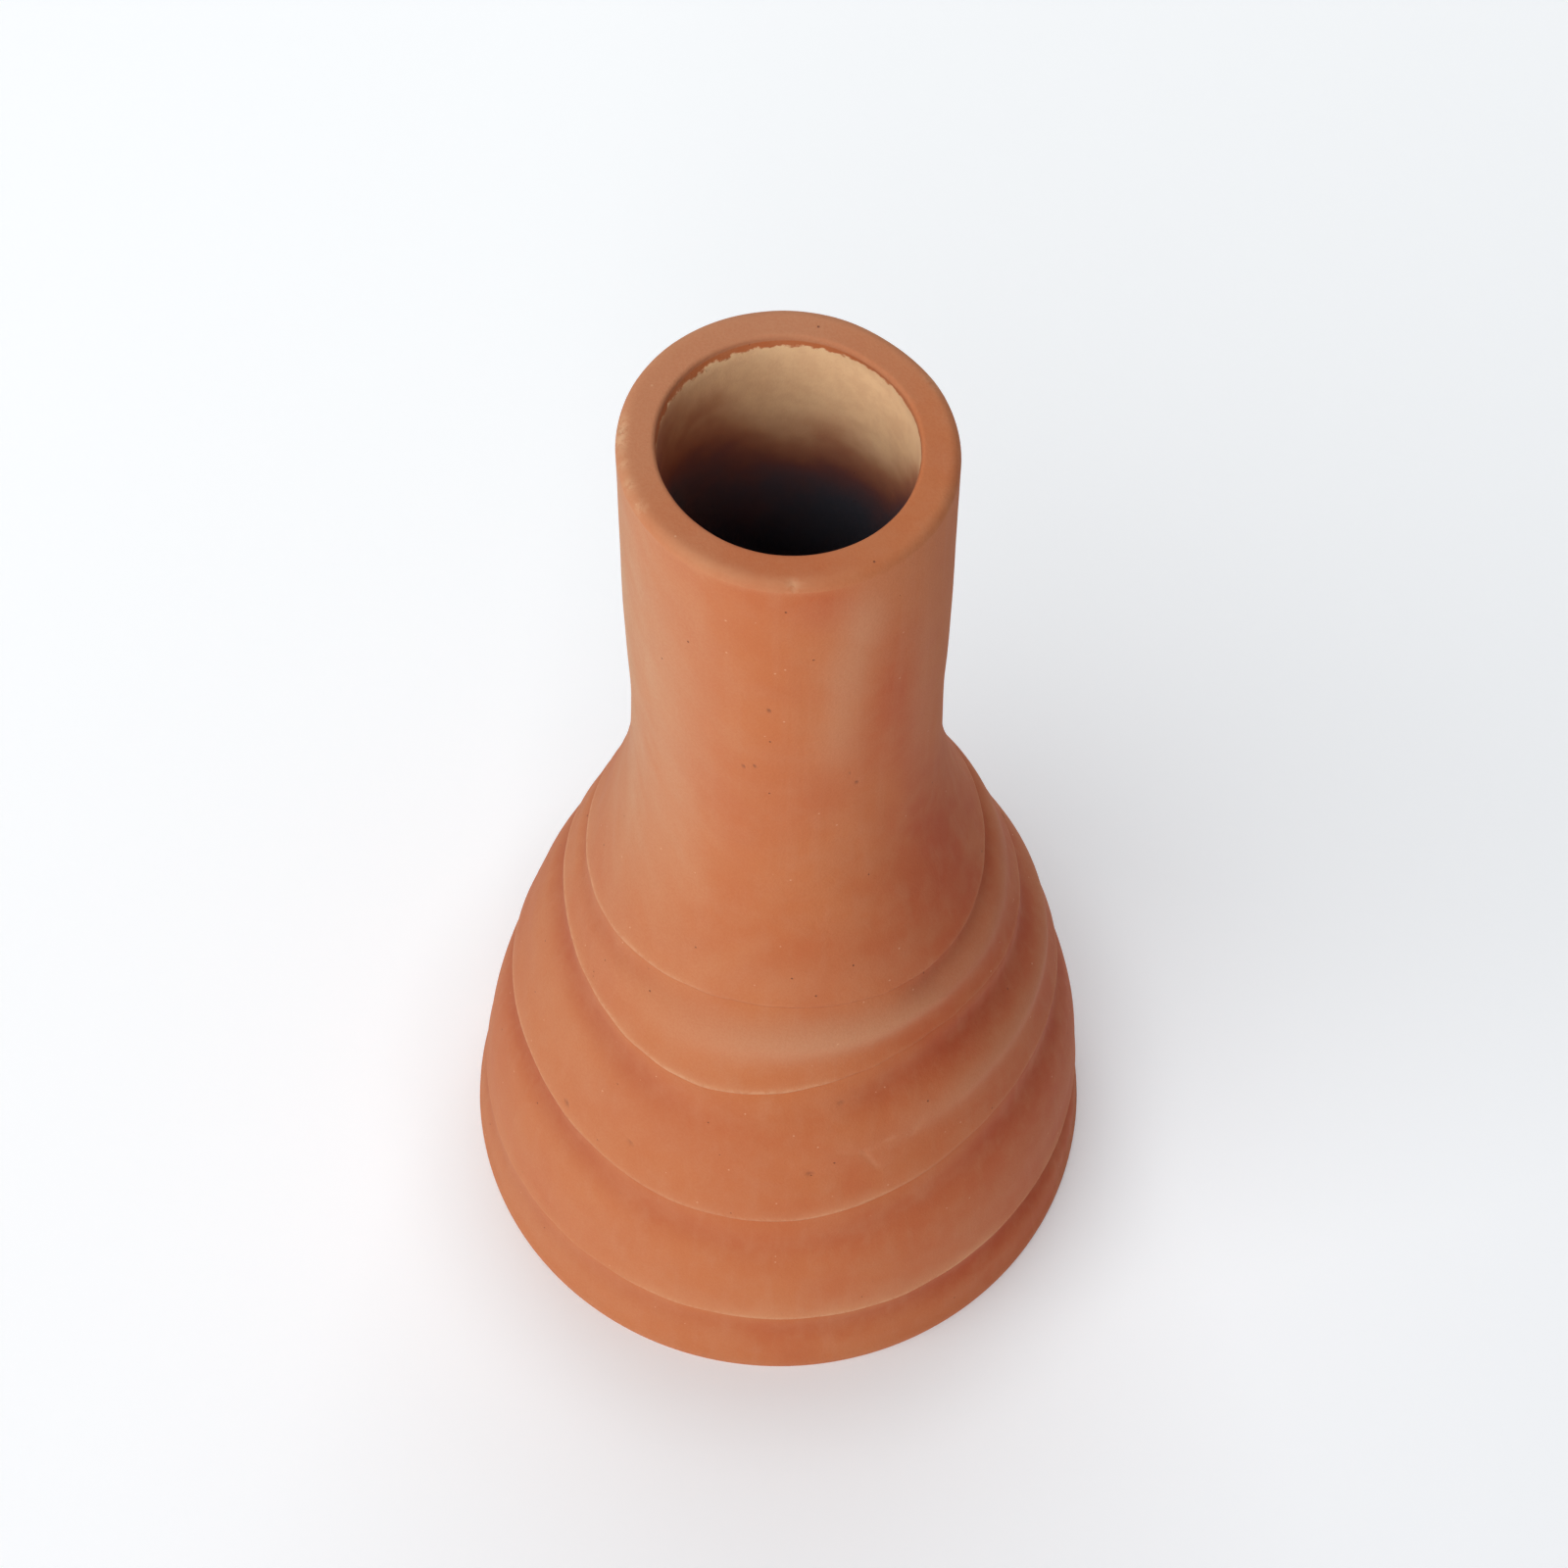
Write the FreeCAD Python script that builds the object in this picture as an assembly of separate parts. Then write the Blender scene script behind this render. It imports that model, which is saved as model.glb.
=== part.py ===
"""Hand-thrown terracotta bottle vase, built from the seven clay sections that the potter joins.

Lengths are millimetres.  +Z is up, and the origin is the centre of the flat base.
The mouth is at the top, -Y is the front and +X is the right.
Each section ends at a crest: a level or slightly tilted ring where its lower lip
stands a little proud of the section below.  Neighbours meet face to face there.
"""
import FreeCAD, Part
import os

# --- driving dimensions -------------------------------------------------------------------
TOTAL_HEIGHT = 250.0

# Neck: an almost cylindrical tube with a flat cut lip.
RIM_RADIUS = 28.4          # outer edge of the flat lip
MOUTH_RADIUS = 23.4        # inner edge of the flat lip
NECK_RADIUS = 29.6         # outside of the tube
BORE_RADIUS = 22.4         # inside of the tube
LIP_EDGE = 1.4             # height of the rounded outer edge of the lip
MOUTH_BEVEL = 2.4          # height of the bevel inside the mouth
NECK_FOOT_HEIGHT = 165.0   # where the tube ends and the shoulder begins

# Crests, from the top down.  A tilt is how far the ring drops at its front edge
# and how far it rises at its right edge.
SHOULDER_RADIUS, SHOULDER_HEIGHT = 40.9, 118.8
SHOULDER_TILT = (-0.5, 1.0)
UPPER_RADIUS, UPPER_HEIGHT = 48.6, 98.3
UPPER_TILT = (-1.0, 0.5)
MIDDLE_RADIUS, MIDDLE_HEIGHT = 59.9, 62.4
MIDDLE_TILT = (-1.0, 3.0)
LOWER_RADIUS, LOWER_HEIGHT = 67.6, 22.0
LOWER_TILT = (-0.8, 1.3)

# Foot and walls.
BASE_RADIUS = 70.7
BODY_WALL = 7.5            # from the crest inwards
CREST_OVERHANG = 0.9       # how far a crest stands out over the section below
CREST_EDGE = 0.6           # rounding of each crest
FOOT_EDGE = 1.2            # rounding where the wall meets the table
FLOOR_THICKNESS = 9.0

# Shape of the wall between two crests, as (share of the way down, share of the way out).
# The wall drops steeply under a crest, swells out, and runs on to the next crest.
COLLAR_STATIONS = ((0.16, 0.02), (0.42, 0.37), (0.72, 0.77))
FOOT_STATIONS = ((0.25, 0.11), (0.60, 0.63), (0.88, 0.94))
# The shoulder leaves the tube almost upright and sweeps out to its crest.
SHOULDER_STATIONS = ((0.05, 0.01), (0.19, 0.07), (0.45, 0.28), (0.72, 0.60))

FLOOR_RADIUS = BASE_RADIUS - BODY_WALL
UP = FreeCAD.Vector(0, 0, 1)


# --- helpers ------------------------------------------------------------------------------
def point(radius, height):
    """A point of a half profile, in the XZ plane."""
    return FreeCAD.Vector(radius, 0, height)


def line(start, end):
    return Part.makeLine(start, end)


def curve(*poles):
    """A smooth Bezier edge through its end poles."""
    bezier = Part.BezierCurve()
    bezier.setPoles(list(poles))
    return bezier.toShape()


def revolve(edges):
    """Turn a closed half profile about the vertical axis into a solid."""
    face = Part.Face(Part.Wire(edges))
    return face.revolve(FreeCAD.Vector(0, 0, 0), UP, 360)


def ring_axis(radius, tilt):
    """Unit normal of a ring that drops at its front and rises at its right edge."""
    front_drop, right_rise = tilt
    normal = FreeCAD.Vector(-right_rise / radius, -front_drop / radius, 1)
    return normal.normalize()


def ring(radius, height, axis):
    """A circular wire centred on the vertical axis."""
    return Part.Wire(Part.makeCircle(radius, FreeCAD.Vector(0, 0, height), axis))


def between(start, end, share):
    return start + (end - start) * share


def flared_rings(top, bottom, stations):
    """Rings, each (radius, height, axis), from the top ring to the bottom one.

    stations place the rings in between: (share of the way down, share of the way out).
    """
    rings = [top]
    for down, out in stations:
        axis = between(top[2], bottom[2], down)
        rings.append((between(top[0], bottom[0], out), between(top[1], bottom[1], down), axis))
    return rings + [bottom]


def skinned(rings):
    """Solid whose side is a smooth skin over the rings."""
    return Part.makeLoft([ring(*each) for each in rings], True, False)


def round_crest(solid, height):
    """Round the outer lower edge of a section, the longest edge in its crest's ring."""
    in_ring = [e for e in solid.Edges if abs(e.CenterOfMass.z - height) < CREST_EDGE]
    outer_edge = max(in_ring, key=lambda e: e.Length)
    return solid.makeFillet(CREST_EDGE, [outer_edge])


def crest(name):
    """(radius, height, axis) of a named crest, or of the lower end of the neck."""
    radius, height, tilt = {
        "neck": (NECK_RADIUS, NECK_FOOT_HEIGHT, (0.0, 0.0)),
        "shoulder": (SHOULDER_RADIUS, SHOULDER_HEIGHT, SHOULDER_TILT),
        "upper": (UPPER_RADIUS, UPPER_HEIGHT, UPPER_TILT),
        "middle": (MIDDLE_RADIUS, MIDDLE_HEIGHT, MIDDLE_TILT),
        "lower": (LOWER_RADIUS, LOWER_HEIGHT, LOWER_TILT),
    }[name]
    return radius, height, ring_axis(radius, tilt)


def narrowed(station, amount):
    radius, height, axis = station
    return radius - amount, height, axis


# --- sections, from the mouth down ----------------------------------------------------------
def neck():
    """Open tube with a flat lip, a soft outer edge and a bevelled mouth."""
    top = TOTAL_HEIGHT
    corner = point(NECK_RADIUS, top)
    under_lip = point(NECK_RADIUS, top - LIP_EDGE)
    return revolve([
        line(point(MOUTH_RADIUS, top), point(RIM_RADIUS, top)),
        curve(point(RIM_RADIUS, top), corner, under_lip),
        line(under_lip, point(NECK_RADIUS, NECK_FOOT_HEIGHT)),
        line(point(NECK_RADIUS, NECK_FOOT_HEIGHT), point(BORE_RADIUS, NECK_FOOT_HEIGHT)),
        line(point(BORE_RADIUS, NECK_FOOT_HEIGHT), point(BORE_RADIUS, top - MOUTH_BEVEL)),
        line(point(BORE_RADIUS, top - MOUTH_BEVEL), point(MOUTH_RADIUS, top)),
    ])


def shoulder():
    """The neck flares out to the first crest."""
    top, bottom = crest("neck"), crest("shoulder")
    outside = skinned(flared_rings(top, bottom, SHOULDER_STATIONS))
    inner_top = narrowed(top, NECK_RADIUS - BORE_RADIUS)
    inner_bottom = narrowed(bottom, BODY_WALL)
    inside = skinned(flared_rings(inner_top, inner_bottom, SHOULDER_STATIONS))
    return round_crest(outside.cut(inside), bottom[1])


def collar(upper_name, lower_name):
    """Stepped band from under one crest out to the next."""
    top, bottom = crest(upper_name), crest(lower_name)
    outside = skinned(flared_rings(narrowed(top, CREST_OVERHANG), bottom, COLLAR_STATIONS))
    inside = skinned([narrowed(top, BODY_WALL), narrowed(bottom, BODY_WALL)])
    return round_crest(outside.cut(inside), bottom[1])


def foot_band():
    """Lowest band, from under the last crest to the table, around the floor."""
    top = crest("lower")
    widest = (BASE_RADIUS, FOOT_EDGE, UP)
    on_table = (BASE_RADIUS - FOOT_EDGE / 2, 0.0, UP)
    floor_top = (FLOOR_RADIUS, FLOOR_THICKNESS, UP)
    rings = flared_rings(narrowed(top, CREST_OVERHANG), widest, FOOT_STATIONS)
    outside = skinned(rings + [on_table])
    inside = skinned([narrowed(top, BODY_WALL), floor_top])
    return outside.cut(inside.fuse(floor_disc()))


def floor_disc():
    """Flat slab that closes the bottom, luted inside the foot band."""
    return Part.makeCylinder(FLOOR_RADIUS, FLOOR_THICKNESS)


# --- build and write --------------------------------------------------------------------------
def sections():
    return {
        "neck": neck(),
        "shoulder": shoulder(),
        "upper_collar": collar("shoulder", "upper"),
        "middle_collar": collar("upper", "middle"),
        "lower_collar": collar("middle", "lower"),
        "foot_band": foot_band(),
        "floor_disc": floor_disc(),
    }


def main():
    os.makedirs("parts", exist_ok=True)
    for name, solid in sections().items():
        solid.exportStep(os.path.join("parts", name + ".step"))
        box = solid.BoundBox
        print(f"{name}: valid {solid.isValid()}, {len(solid.Solids)} solid, "
              f"{solid.Volume / 1000:.1f} cm3, z {box.ZMin:.1f} to {box.ZMax:.1f}, "
              f"width {box.XLength:.1f}")


main()
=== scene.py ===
import math

import bmesh
import bpy
import numpy as np
from mathutils import Matrix, Vector


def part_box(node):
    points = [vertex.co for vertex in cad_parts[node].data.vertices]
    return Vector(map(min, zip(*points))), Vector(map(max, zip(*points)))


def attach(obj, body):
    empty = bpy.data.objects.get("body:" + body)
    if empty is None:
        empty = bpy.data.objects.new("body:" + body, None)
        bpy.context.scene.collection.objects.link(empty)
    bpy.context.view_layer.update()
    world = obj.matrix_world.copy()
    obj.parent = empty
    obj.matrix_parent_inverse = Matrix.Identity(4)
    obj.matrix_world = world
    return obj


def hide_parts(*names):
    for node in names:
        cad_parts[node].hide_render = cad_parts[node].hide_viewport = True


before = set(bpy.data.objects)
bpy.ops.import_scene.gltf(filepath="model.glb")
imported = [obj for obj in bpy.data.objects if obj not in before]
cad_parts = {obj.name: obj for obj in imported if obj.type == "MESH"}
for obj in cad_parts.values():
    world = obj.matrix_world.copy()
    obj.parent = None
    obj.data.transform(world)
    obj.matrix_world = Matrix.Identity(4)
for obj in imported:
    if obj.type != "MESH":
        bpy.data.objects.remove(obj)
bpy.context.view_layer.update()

# Unglazed terracotta bottle vase.  Each clay section of the frame gets a closed mesh of its own,
# whose outside follows the hand-made crests, with one procedural fired-clay material.
# Lengths in the shape code are millimetres; meshes are written in metres.

MM = 0.001
ROOT = "root"

# --- sizes from the frame -------------------------------------------------------------------
NECK_LOW, NECK_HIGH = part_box("neck")
FOOT_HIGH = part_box("foot_band")[1]
DISC_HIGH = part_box("floor_disc")[1]
HEIGHT = NECK_HIGH.z / MM
NECK_FOOT = NECK_LOW.z / MM
FLOOR_TOP = DISC_HIGH.z / MM
FLOOR_RADIUS = DISC_HIGH.x / MM
CAD_RADIUS = FOOT_HIGH.x / MM

# --- mouth and walls ------------------------------------------------------------------------
RIM_RADIUS = 28.3      # outer edge of the lip
FLAT_RADIUS = 27.4     # outer edge of the lip's flat top
LIP_ROUND = 1.9        # rounding of the outer edge
EDGE_RADIUS = 28.4     # where that edge is rubbed most
EDGE_TO_WALL = 1.2     # distance from there over the rounding to the top of the wall
MOUTH_RADIUS = 23.5    # inner edge of the lip's flat top
MOUTH_ROUND = 0.8      # rounding of the inner edge
BEVEL = 1.5            # height of the bevel under that rounding
BORE_RADIUS = 22.3     # inside of the neck
BORE_WAVER = 0.12      # unevenness of the bore
WALL = 7.5             # thickness of the body's wall
WALL_WAVER = 0.1       # unevenness of that thickness
FLARE_FROM = 6         # height above the foot of the neck where the bore begins to widen
FLARE_OVER = 30        # height over which it turns into the flare of the body
INSIDE_TAPER = 0.02    # how much the inside narrows at least, for each millimetre of height
INSIDE_ROWS = 2.5      # height of one row of the mesh inside
CAD_MARGIN = 0.05      # the foot stays this far inside the CAD radius
FOOT_ROUND = 0.7       # height of the rounding where the wall meets the table
FOOT_TUCK = 0.35       # how far that rounding turns in
SEAT_GAP = 0.03        # gap around the floor slab
FLOOR_EDGE = 0.4       # softened edge around the floor slab
FLOOR_BEVEL = 0.8      # height of that edge
FLOOR_SINK = 0.35      # how far the slab's upper face lies below the CAD face
SIDE_TOP = 1.5         # rows of its side, from this far below the top
SIDE_FOOT = 0.6        # down to this height
UNDER_EDGE = 0.5       # softened edge of its underside
FLOOR_SWIRL = 0.25     # throwing swirl on its upper face
SWIRL_TURN = 0.55      # how fast the swirl winds outwards
SWIRL_REACH = 55       # radius where it has faded
POLE = 0.001           # radius of the tight ring at its centre, which is merged into a point

# Mean outline of the outside: (height, radius).
OUTLINE = (
    (0.0, 70.6), (24.0, 67.6), (44.0, 64.2), (62.0, 60.1), (81.0, 54.2), (100.0, 47.5),
    (118.0, 40.9), (131.0, 36.4), (144.0, 32.75), (156.0, 30.5), (172.0, 29.5),
    (206.0, 29.7), (248.0, 29.45),
)

# Crests, from the top.  Each wavers about its height by lobes: (number, millimetres, degrees).
# Strength of the edge and paleness above it, partly rubbed clay and partly painted highlight, run
# around the pot: (degrees from the front towards the right, share).  The paleness fades over a height in
# millimetres.
CRESTS = {
    "shoulder": {
        "height": 118.8,
        "rubbed_and_highlight": 1.1,
        "lobes": ((1, 1.5, 90), (2, 1.3, -76), (3, 1.0, -12)),
        "strength": ((-150, 0.7), (-90, 1.0), (-45, 0.8), (-14, 0.05), (20, 0.05), (45, 0.8),
                     (95, 0.9)),
        "pale": ((-150, 0.3), (-75, 0.8), (-40, 0.7), (-15, 0.1), (20, 0.0), (60, 0.2), (100, 0.3)),
    },
    "upper_collar": {
        "height": 98.3,
        "rubbed_and_highlight": 1.1,
        "lobes": ((1, 1.1, 27), (2, 0.5, -170), (3, 3.0, 113)),
        "strength": ((-150, 0.7), (-85, 1.0), (-30, 1.0), (5, 0.8), (22, 0.3), (50, 0.5), (95, 0.9)),
        "pale": ((-150, 0.3), (-75, 0.7), (-20, 1.0), (8, 0.9), (16, 0.1), (60, 0.1), (100, 0.3)),
    },
    "middle_collar": {
        "height": 62.4,
        "rubbed_and_highlight": 2.2,
        "lobes": ((1, 3.3, 71), (2, 0.7, 162), (3, 2.6, 162)),
        "strength": ((-150, 0.7), (-80, 0.6), (-40, 0.5), (0, 0.8), (25, 0.7), (55, 0.5), (95, 0.8)),
        "pale": ((-150, 0.2), (-75, 0.7), (-45, 0.35), (0, 0.55), (14, 0.8), (40, 0.2), (100, 0.3)),
    },
    "lower_collar": {
        "height": 22.0,
        "rubbed_and_highlight": 4.0,
        "lobes": ((1, 1.6, 50), (2, 0.9, 75), (3, 0.9, -127)),
        "strength": ((-150, 0.6), (-80, 0.5), (-40, 0.6), (-10, 1.0), (25, 1.1), (60, 0.9), (95, 0.7)),
        "pale": ((-150, 0.2), (-75, 0.2), (-40, 0.2), (-12, 0.7), (10, 1.0), (38, 1.0),
                 (60, 0.4), (100, 0.2)),
    },
}
CREST_OUT = 0.3        # how far the thin edge of a crest stands out
CREST_CURL = 0.8       # height over which it turns out
CREST_STEP = 0.25      # how far the wall steps in straight under the edge
STEP_REACH = 1.5       # depth over which the step fades
EDGE_ROUND = 0.3       # rounding of the edge
EDGE_TURN = 0.96       # how much of a quarter circle that rounding is
CREST_WAVER = 0.35     # small waver in the height of a crest
WORN_HIGHLIGHT_SHARE = 0.45      # share of that paleness that makes a paler line, partly worn clay and partly painted highlight
WORN_HIGHLIGHT_AT = 0.35         # height of that line above the edge
WORN_HIGHLIGHT_WIDTH = 0.5       # half height of that line

# Hollow under the upper crest and swell lower down, for each wall, as amounts in millimetres at
# degrees around the pot.  The hollow lies some millimetres below the crest, which also changes
# around the pot; the swell lies at a share of the way down.
WALLS = {
    "shoulder": {
        "hollow_at": ((-90, 20.0), (90, 20.0)), "hollow_width": 8.0,
        "hollow": ((-90, 0.0), (90, 0.0)),
        "swell_at": 0.84, "swell_width": 0.13,
        "swell": ((-150, 0.0), (-60, 0.0), (-10, 0.5), (25, 0.4), (60, 0.0), (150, 0.0)),
    },
    "upper_collar": {
        "hollow_at": ((-90, 4.0), (90, 3.5)), "hollow_width": 2.8,
        "hollow": ((-150, 0.6), (-90, 1.0), (-45, 0.6), (-15, 0.0), (30, 0.0), (50, 1.6), (95, 1.9)),
        "swell_at": 0.42, "swell_width": 0.22,
        "swell": ((-150, 0.2), (-90, 0.1), (-45, 0.3), (-10, 1.4), (30, 1.6), (60, 1.3), (95, 0.8)),
    },
    "middle_collar": {
        "hollow_at": ((-150, 6.5), (-60, 6.0), (0, 8.0), (60, 7.0), (110, 6.5)), "hollow_width": 4.6,
        "hollow": ((-150, 1.0), (-90, 1.7), (-45, 1.4), (-12, 0.2), (10, 0.3), (30, 1.2),
                   (62, 1.9), (95, 1.5)),
        "swell_at": 0.54, "swell_width": 0.12,
        "swell": ((-150, 0.2), (-60, 0.3), (0, 0.1), (22, 0.5), (48, 1.3), (95, 1.0)),
    },
    "lower_collar": {
        "hollow_at": ((-150, 6.0), (-60, 4.8), (-25, 6.5), (0, 10.5), (50, 7.5), (110, 7.0)),
        "hollow_width": 5.6,
        "hollow": ((-150, 1.3), (-90, 1.7), (-60, 1.7), (-30, 0.9), (0, 0.5), (35, 0.7),
                   (70, 1.7), (100, 1.4)),
        "swell_at": 0.66, "swell_width": 0.2,
        "swell": ((-150, 0.1), (-60, 0.4), (0, 0.0), (60, 0.6), (100, 0.4)),
    },
    "foot_band": {
        "hollow_at": ((-90, 5.5), (90, 6.0)), "hollow_width": 4.5,
        "hollow": ((-150, 0.8), (-90, 0.7), (-45, 0.6), (0, 0.6), (35, 1.3), (65, 2.0), (100, 1.5)),
        "swell_at": 0.92, "swell_width": 0.1,
        "swell": ((-90, 0.4), (90, 0.4)),
    },
}
HOLLOW_SHADE_RED = 0.32      # how much redder the clay is painted for each millimetre of hollow, as painted shade
HOLLOW_SHADE_DARK = 0.19     # how much browner it is painted there, as painted shade
SWELL_PAINTED_LIGHT = 0.42      # how much paler the clay is painted for each millimetre of swell, as painted light

# Sideways lean of the hand-built body towards the right: (height, millimetres).
LEAN = (
    (0.0, 0.0), (30.0, 0.8), (70.0, 1.5), (105.0, 1.4), (150.0, 0.5), (180.0, 0.45),
    (210.0, 0.15), (250.0, -0.05),
)
SLOW_WAVER = 0.14      # slow unevenness of the wall
QUICK_WAVER = 0.05     # finer unevenness
OVAL = 0.5             # how far the mouth is out of round
OVAL_TURN = 290        # direction of that, in degrees
OVAL_SHRINK = 0.2      # and how much the mouth is drawn in
OVAL_FROM = 190        # height where it begins
OVAL_OVER = 50         # height over which it grows
FLAT_SPOT = (140, 18, 0.35)    # flattened side of the mouth: degrees, half width in degrees, depth

DENT_SQUASH = 1.15     # how much wider than high a dent is
# Small dents: (degrees, height, radius, depth, darkness).
DENTS = (
    (-5, 212.4, 0.35, 0.2, 0.8), (-14, 192.2, 0.28, 0.15, 0.8), (-10, 193.0, 0.25, 0.15, 0.8),
    (24, 188.1, 0.3, 0.15, 0.7), (27, 183.6, 0.35, 0.2, 0.8), (-51, 65.7, 0.9, 0.3, 0.45),
    (-33, 70.4, 0.75, 0.25, 0.35), (15, 93.2, 0.7, 0.25, 0.35), (7, 75.1, 0.95, 0.3, 0.4),
    (118, 84.0, 0.9, 0.3, 0.5), (165, 140.0, 0.6, 0.3, 0.5), (-140, 50.0, 0.9, 0.3, 0.5),
    (-120, 204.0, 0.4, 0.2, 0.7), (150, 40.0, 0.8, 0.3, 0.4),
)

SCRATCH_PALE = 0.34    # how pale a scratch is
# Faint pale scratches: (degrees, height) of each end, half width and depth in millimetres.
SCRATCHES = (
    ((13.5, 80.7), (18.8, 79.1), 0.6, 0.10), ((18.8, 79.1), (21.6, 73.1), 0.6, 0.10),
    ((18.8, 79.1), (25.5, 80.9), 0.6, 0.10), ((30.0, 79.2), (32.7, 82.1), 0.75, 0.10),
    ((-150, 92.0), (-141, 90.0), 0.7, 0.10), ((128, 58.0), (134, 62.0), 0.7, 0.10),
)

CLOUD_RAGGED = 0.14    # raggedness of the edge of a cloud
# Soft clouds in the fired colour, partly painted light and shade: the red clouds on the shaded right side
# deepen its shade, the sand clouds on the lit left side pale it like a sheen, and the thin pale band
# under the shoulder crest at the front is painted light.  (degrees, height, half width in degrees, half
# height, tint, amount).
CLOUDS = (
    (27, 236, 9, 11, "pale", 0.55), (22, 222, 8, 16, "pale", 0.5), (19, 203, 9, 15, "pale", 0.35),
    (14, 243, 10, 6, "red", 0.6), (38, 210, 12, 20, "red", 0.55), (52, 190, 14, 34, "red", 0.45),
    (66, 140, 30, 34, "red", 0.85), (50, 110, 26, 9, "red", 0.3), (55, 205, 9, 34, "pale", 0.3),
    (0, 195, 12, 14, "red", 0.25), (60, 76, 20, 9, "pale", 0.15), (74, 46, 46, 66, "red", 0.95),
    (-84, 210, 26, 70, "sand", 0.9), (-45, 205, 22, 60, "sand", 0.45), (-60, 150, 24, 22, "sand", 0.12),
    (-50, 90, 40, 70, "sand", 0.12), (-70, 100, 20, 40, "red", 0.15),
    (-160, 180, 25, 30, "pale", 0.4), (130, 120, 25, 30, "red", 0.5), (-120, 60, 30, 18, "red", 0.4),
    (170, 60, 34, 22, "sand", 0.4), (-140, 130, 30, 24, "red", 0.35), (-62, 12, 34, 14, "sand", 0.16),
    (10, 113, 30, 5.5, "pale", 0.42),
)


# --- shape ----------------------------------------------------------------------------------
def smooth_curve(points):
    """Cubic through points of rising x, with each slope taken from the neighbours."""
    x, y = (np.array(column, float) for column in zip(*points))
    slopes = np.gradient(y, x)

    def value(at):
        at = np.clip(at, x[0], x[-1])
        i = np.clip(np.searchsorted(x, at) - 1, 0, len(x) - 2)
        step = x[i + 1] - x[i]
        u = (at - x[i]) / step
        start = (2 * u**3 - 3 * u**2 + 1) * y[i] + (u**3 - 2 * u**2 + u) * step * slopes[i]
        end = (3 * u**2 - 2 * u**3) * y[i + 1] + (u**3 - u**2) * step * slopes[i + 1]
        return start + end

    return value


outline = smooth_curve(OUTLINE)


def around(table, theta):
    """Smooth value around the pot from a table of (degrees, value)."""
    angles = [math.radians(a) for a, _ in table]
    values = [v for _, v in table]
    first, last = (angles[0] + 2 * math.pi, values[0]), (angles[-1] - 2 * math.pi, values[-1])
    points = [last] + list(zip(angles, values)) + [first]
    x, y = zip(*points)
    turned = np.where(theta < x[0], theta + 2 * math.pi, theta)
    i = np.clip(np.searchsorted(x, turned) - 1, 0, len(x) - 2)
    x, y = np.array(x), np.array(y)
    u = (turned - x[i]) / (x[i + 1] - x[i])
    return y[i] + (y[i + 1] - y[i]) * u * u * (3 - 2 * u)


NOISE_PEAK = 1.6       # brings the sum of the noise layers to about -1..1


def wave_noise(theta, height, seed, waves, climb, layers=4):
    """Smooth random value in about -1..1 that closes around the pot.

    The first layer has about that many waves around the pot, and they shift with the height by
    climb radians per millimetre.  Each further layer is finer and weaker."""
    random = np.random.default_rng(seed)
    total = np.zeros(np.broadcast(theta, height).shape)
    for layer in range(layers):
        lobes = max(1, round(waves * (layer + 1) * random.uniform(0.7, 1.3)))
        rate = climb * (layer + 1) * random.uniform(0.6, 1.4)
        phase, tilt = random.uniform(0, 2 * math.pi, 2)
        wave = np.sin(lobes * theta + phase + rate * height) * np.cos(rate * height * 0.7 + tilt)
        total += wave / (layer + 1)
    return total / NOISE_PEAK


def crest_height(name, theta):
    """Height of a crest around the pot."""
    crest = CRESTS[name]
    height = np.full_like(theta, crest["height"])
    for lobes, amount, phase in crest["lobes"]:
        height += amount * np.cos(lobes * theta - math.radians(phase))
    return height + CREST_WAVER * wave_noise(theta, 0 * theta, seed=len(name), waves=9, climb=0.0)


def angle_gap(theta, degrees):
    """Signed angle from a direction, in degrees."""
    return (np.degrees(theta) - degrees + 180) % 360 - 180


def crest_strength(name, theta):
    """How strongly a crest stands out around the pot; 0 for a plain joint."""
    if name not in CRESTS:
        return np.zeros_like(theta)
    return around(CRESTS[name]["strength"], theta)


def hollow_and_swell(wall, theta, depth, share):
    """How far a wall is hollowed under the crest above, and how far it swells lower down."""
    below = (depth - around(wall["hollow_at"], theta)) / wall["hollow_width"]
    hollow = around(wall["hollow"], theta) * np.exp(-below**2)
    beside = (share - wall["swell_at"]) / wall["swell_width"]
    swell = around(wall["swell"], theta) * np.exp(-beside**2)
    return hollow, swell


def outside_radius(name, above, theta, height, top, bottom):
    """Radius of a section's outer wall.  above names the section over it."""
    depth, rise = top - height, height - bottom
    radius = outline(height) + unevenness(theta, height)
    if name in WALLS:
        share = depth / (top - bottom)
        hollow, swell = hollow_and_swell(WALLS[name], theta, depth, share)
        radius += swell - hollow
    lip, over = crest_strength(name, theta), crest_strength(above, theta)
    radius += lip * CREST_OUT * np.exp(-rise / CREST_CURL)
    radius -= over * CREST_STEP * np.exp(-depth / STEP_REACH)
    turned_in = np.clip(1 - rise / EDGE_ROUND, 0, 1)
    return radius - lip * EDGE_ROUND * (1 - np.sqrt(1 - turned_in**2 * EDGE_TURN))


lean = smooth_curve(LEAN)


def unevenness(theta, height):
    """Lean, out-of-round mouth and slow waver of a hand-smoothed wall."""
    waver = SLOW_WAVER * wave_noise(theta, height, seed=3, waves=2, climb=0.035)
    waver = waver + QUICK_WAVER * wave_noise(theta, height, seed=8, waves=7, climb=0.12)
    near_mouth = np.clip((height - OVAL_FROM) / OVAL_OVER, 0, 1)
    oval = OVAL * np.cos(2 * theta + math.radians(OVAL_TURN)) - OVAL_SHRINK
    direction, half_width, deep = FLAT_SPOT
    flat = deep * np.exp(-(angle_gap(theta, direction) / half_width) ** 2)
    return lean(height) * np.sin(theta) + waver * (1 - 0.5 * near_mouth) + near_mouth * (oval - flat)


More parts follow.
